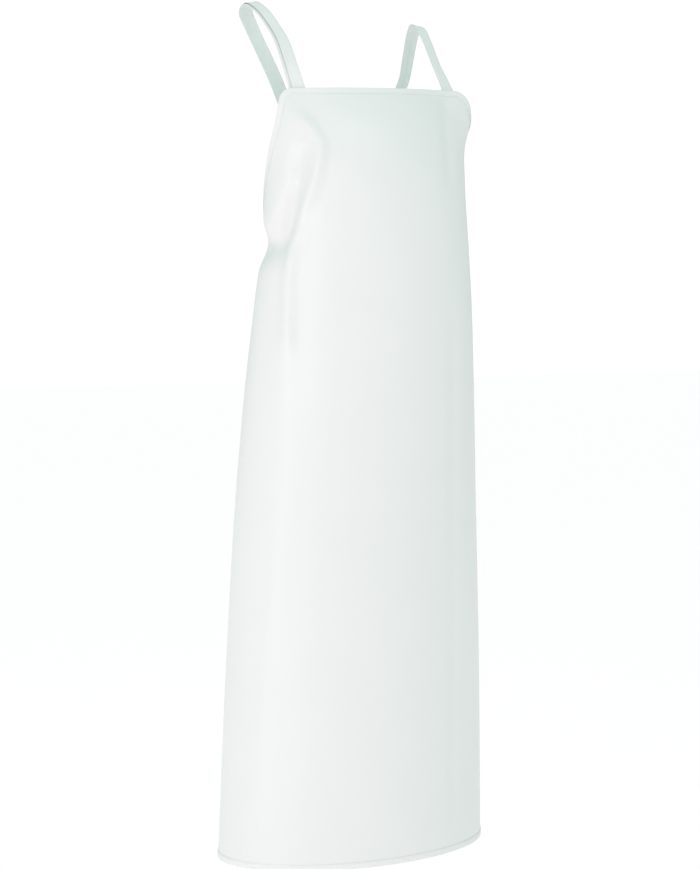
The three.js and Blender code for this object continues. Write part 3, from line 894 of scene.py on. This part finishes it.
def cross_rows(frames, distances):
    """Rows of stitches straight across the strap's top layer, at distances along it."""
    centre, way, across, off, length = frames
    steps = np.linspace(-CROSS_ROW_REACH, CROSS_ROW_REACH, CROSS_ROW_COUNT)[:, None]
    rows = []
    for distance in distances:
        k = int(round(distance / length * STRAP_STEPS))
        for face in (1, -1):
            lift = off[k] * (STRAP_HALF_THICK + CROSS_ROW_LIFT) * face
            places = centre[k] + across[k] * (steps - STRAP_LAYER_STEP / 2) + lift
            ways = np.broadcast_to(across[k], places.shape)
            normals = np.broadcast_to(off[k] * face, places.shape)
            rows.append(stitch_mesh(places, ways, normals))
    return rows


# a strap's material slots: its plain face, the painted gap shadow along the top layer's outer edge, and the
# painted shade of the under layer's underside
UPPER_FACE, GAP_SHADE_SLOT, PAINTED_SHADE_UNDERSIDE = 0, 1, 2
GAP_SHADE_WIDTH = 0.4
PAINTED_SHADE_BELOW = -0.6
SEAM_REACH = 0.6


def strap_finish(section, has_gap_shade, seam_at):
    """Which material each stretch of a layer's outline has: painted shade on the under layer's underside,
    away from its seam, and a painted gap shadow along the top layer's outer edge.
    """
    edge = max(x for x, h in section) - GAP_SHADE_WIDTH
    finish = []
    for (x, h), (next_x, next_h) in zip(section, section[1:] + section[:1]):
        if has_gap_shade and min(x, next_x) > edge:
            finish.append(GAP_SHADE_SLOT)
        elif not has_gap_shade and max(h, next_h) < PAINTED_SHADE_BELOW and abs((x + next_x) / 2 - seam_at) > SEAM_REACH:
            finish.append(PAINTED_SHADE_UNDERSIDE)
        else:
            finish.append(UPPER_FACE)
    return finish


def make_strap(word):
    frames = strap_frames(word)
    centre, way, across, off, length = frames
    parts, kinds = [], []
    for has_gap_shade, section in enumerate(strap_layers(word)):
        rings = np.stack([centre + across * x + off * h for x, h in section], 1)
        parts.append((rings.reshape(-1, 3), strip_faces(len(centre), len(section))))
        kinds += strap_finish(section, has_gap_shade, STRAP_SEAM_AT[word]) * STRAP_STEPS + [UPPER_FACE, UPPER_FACE]
    strap = mesh_piece(f"shoulder_strap_{word}_cloth", *join_parts(parts), [STRAP, GAP_SHADE_PAINT, STRAP_UNDER_PAINTED_SHADE],
                       face_material=kinds)
    outward(strap)
    smooth(strap, 50)
    rows = strap_stitches(frames) + cross_rows(frames, STRAP_BASE_ROWS + (length - STRAP_END_ROW,))
    stitches = mesh_piece(f"shoulder_strap_{word}_stitching", *join_parts(rows), [THREAD])
    smooth(stitches, 60)
    for piece in (strap, stitches):
        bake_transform(piece)
    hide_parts(f"shoulder_strap_{word}")


for word in SIDES:
    make_strap(word)

# ---- reinforcing patches, sewn down all round behind the strap ends and the studs ----
PATCH_THICK = 0.8
PATCH_STEP = 1.5
PATCH_LAY = -(FABRIC / 2 + 0.15)
PATCH_STITCH_INSET = 2.5
PATCH_STITCH_LIFT = 0.02
PATCH_CORNER = 4.0


def rounded_corners(u, v, half_u, half_v):
    """Rounds a rectangle's corners by drawing its border points in."""
    du = np.maximum(np.abs(u) - (half_u - PATCH_CORNER), 0)
    dv = np.maximum(np.abs(v) - (half_v - PATCH_CORNER), 0)
    square = np.maximum(du, dv)
    scale = np.where(square > 0, square / np.maximum(np.hypot(du, dv), 1e-9), 1.0)
    return (np.sign(u) * (np.minimum(np.abs(u), half_u - PATCH_CORNER) + du * scale),
            np.sign(v) * (np.minimum(np.abs(v), half_v - PATCH_CORNER) + dv * scale))


def ease_off(distance, reach):
    """1 at no distance, falling smoothly to 0 at the reach."""
    t = np.clip(1 - distance / reach, 0, 1)
    return t * t * (3 - 2 * t)


def make_patch(node, centre, half, depth_at):
    """A rounded patch round a flat place, depth_at(across, down) off the panel; returns its stitches."""
    half_u, half_v = half
    u, v = np.meshgrid(np.linspace(-half_u, half_u, int(2 * half_u / PATCH_STEP) + 1),
                       np.linspace(-half_v, half_v, int(2 * half_v / PATCH_STEP) + 1))
    rows, columns = u.shape
    u, v = rounded_corners(u, v, half_u, half_v)
    across, down = centre[0] + u, centre[1] + v
    place, normal = hang(across, down), hang_normal(across, down)
    depth = depth_at(across, down)[..., None]
    layers = [(place + normal * (depth - sunk)).reshape(-1, 3) for sunk in (0, PATCH_THICK)]
    uv = np.stack([across, down], -1).reshape(-1, 2)
    faces, _ = sheet_faces(rows, columns)
    patch = mesh_piece(f"{node}_cloth", np.concatenate(layers), faces, [BACK], np.concatenate([uv, uv]))
    outward(patch)
    smooth(patch, 60)
    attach(patch, ROOT)
    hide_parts(node)
    return patch_stitches(centre, half_u - PATCH_STITCH_INSET, half_v - PATCH_STITCH_INSET, depth_at)


def patch_stitches(centre, half_u, half_v, depth_at):
    """Stitches round a patch, on the patch and on the panel's face."""
    corners = [(-1, -1), (1, -1), (1, 1), (-1, 1), (-1, -1)]
    line = resample(np.array(corners) * (half_u, half_v), STITCH_PITCH)
    place = np.array(centre) + line
    base, ahead = hang(*place.T), hang(*(place + unit(np.gradient(line, axis=0))).T)
    facing = hang_normal(*place.T)
    inside = (depth_at(*place.T) - PATCH_THICK)[:, None]
    way = unit(ahead - base)
    return [stitch_mesh(base + facing * inside, way, -facing),
            stitch_mesh(base + facing * (FABRIC / 2 + PATCH_STITCH_LIFT), way, facing)]


BIB_PATCH_DOWN = (12.0, 52.0)
BIB_PATCH_HALF = 21.0
STRAP_BULGE = STRAP_SET_IN + STRAP_HALF_THICK + 0.2
STRAP_BULGE_EASE = 6.5
WAIST_PATCH_HALF = (15.5, 17.5)
WAIST_PATCH_LAY = PATCH_LAY - 0.25


def bib_patch_depth(side):
    """The patch lies on the panel's back and bulges over the strap's sewn end."""
    def depth(across, down):
        beside = np.maximum(np.abs(across - side * STRAP_BASE) - STRAP_EDGE - 0.5, 0)
        beyond = np.maximum(down - STRAP_SEWN_LENGTH - 1.0, 0)
        return PATCH_LAY + (-STRAP_BULGE - PATCH_LAY) * ease_off(np.hypot(beside, beyond), STRAP_BULGE_EASE)
    return depth


def waist_patch_depth(across, down):
    return np.full(np.shape(across), WAIST_PATCH_LAY)


def make_patches():
    bib_middle, bib_half = sum(BIB_PATCH_DOWN) / 2, (BIB_PATCH_DOWN[1] - BIB_PATCH_DOWN[0]) / 2
    stud_middle = (sum(STUD_ACROSS) / 2, sum(STUD_DOWN) / 2)
    rows = []
    for word, side in SIDES.items():
        rows += make_patch(f"bib_patch_{word}", (side * STRAP_BASE, bib_middle), (BIB_PATCH_HALF, bib_half),
                           bib_patch_depth(side))
        rows += make_patch(f"waist_patch_{word}", (side * stud_middle[0], stud_middle[1]), WAIST_PATCH_HALF,
                           waist_patch_depth)
    piece = mesh_piece("patch_stitching", *join_parts(rows), [THREAD])
    smooth(piece, 60)
    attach(piece, ROOT)


make_patches()

# ---- press studs, turned in nickel plate ----
STUD_SIDES = 48
# outline of each turned piece as (radius, height off the panel's middle surface)
STUD_OUTLINES = {
    "post": [(0.6, -3.35), (2.6, -3.2), (4.2, -2.95), (4.9, -2.6), (5.0, -2.35), (4.8, -2.1), (4.3, -2.05),
             (1.7, -2.05), (1.7, 2.3), (0.6, 2.4)],
    "base": [(2.1, 0.85), (4.9, 0.85), (5.2, 1.0), (5.2, 1.3), (4.8, 1.45), (3.4, 1.5), (3.0, 1.65),
             (2.8, 2.1), (2.85, 2.6), (3.15, 3.0), (3.2, 3.3), (3.0, 3.65), (2.6, 3.8), (2.1, 3.8)],
    "socket": [(3.5, 2.0), (5.3, 2.0), (5.65, 2.15), (5.8, 2.5), (5.7, 3.0), (5.5, 4.2), (5.2, 4.5),
               (2.1, 4.5), (2.1, 4.1), (3.5, 4.1)],
    "cap": [(0.6, 4.3), (1.7, 4.3), (1.7, 7.2), (5.9, 7.2), (6.25, 7.3), (6.3, 7.5), (6.1, 7.8), (5.6, 8.1),
            (4.8, 8.4), (3.8, 8.6), (2.4, 8.75), (0.6, 8.8)],
}
OPEN_STUD_PARTS = ("base", "socket")
RIDES_ON_PANEL = ("post", "base")
MERGE_DISTANCE = 1e-6


def ring_select(mesh, radius, height):
    """Selects the ring of points at a radius and a height."""
    for vertex in mesh.vertices:
        level = abs(vertex.co.z - height * MM) < MERGE_DISTANCE
        out_by = abs(math.hypot(vertex.co.x, vertex.co.y) - radius * MM)
        vertex.select = level and out_by < 2 * MERGE_DISTANCE


def turned_piece(name, outline, closed):
    """Raises a ring step by step along an outline, then joins its two ends or fills each."""
    bpy.ops.object.select_all(action="DESELECT")
    radius, height = outline[0]
    bpy.ops.mesh.primitive_circle_add(vertices=STUD_SIDES, radius=radius * MM, location=(0, 0, 0))
    piece = bpy.context.object
    piece.name = name
    bpy.ops.object.mode_set(mode="EDIT")
    bpy.ops.mesh.select_all(action="SELECT")
    bpy.ops.transform.translate(value=(0, 0, height * MM))
    steps = outline[1:] + ([outline[0]] if closed else [])
    for next_radius, next_height in steps:
        rise = (0, 0, (next_height - height) * MM)
        bpy.ops.mesh.extrude_region_move(TRANSFORM_OT_translate={"value": rise})
        ratio = next_radius / radius
        bpy.ops.transform.resize(value=(ratio, ratio, 1), center_override=(0, 0, next_height * MM))
        radius, height = next_radius, next_height
    bpy.ops.mesh.select_all(action="SELECT")
    bpy.ops.mesh.remove_doubles(threshold=MERGE_DISTANCE)
    if not closed:
        for end in (outline[0], outline[-1]):
            bpy.ops.mesh.select_all(action="DESELECT")
            bpy.ops.object.mode_set(mode="OBJECT")
            ring_select(piece.data, *end)
            bpy.ops.object.mode_set(mode="EDIT")
            bpy.ops.mesh.select_mode(type="VERT")
            bpy.ops.mesh.edge_face_add()
    bpy.ops.mesh.select_all(action="SELECT")
    bpy.ops.mesh.normals_make_consistent(inside=False)
    bpy.ops.object.mode_set(mode="OBJECT")
    return piece


def place_on_stud(piece, word):
    """Moves a piece's mesh from the origin to the stud's place and turn."""
    centre, out, up = STUDS[word]
    side = np.cross(up, out)
    turn = Matrix([[side[k], up[k], out[k], centre[k] * MM] for k in range(3)] + [[0, 0, 0, 1]])
    piece.data.transform(turn)
    piece.data.update()


def make_studs():
    for word in SIDES:
        for part, outline in STUD_OUTLINES.items():
            piece = turned_piece(f"stud_{part}_{word}_turned", outline, part in OPEN_STUD_PARTS)
            place_on_stud(piece, word)
            piece.data.materials.append(NICKEL)
            outward(piece)
            smooth(piece, 28)
            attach(piece, ROOT if part in RIDES_ON_PANEL else f"press_{word}")
            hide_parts(f"stud_{part}_{word}")


make_studs()
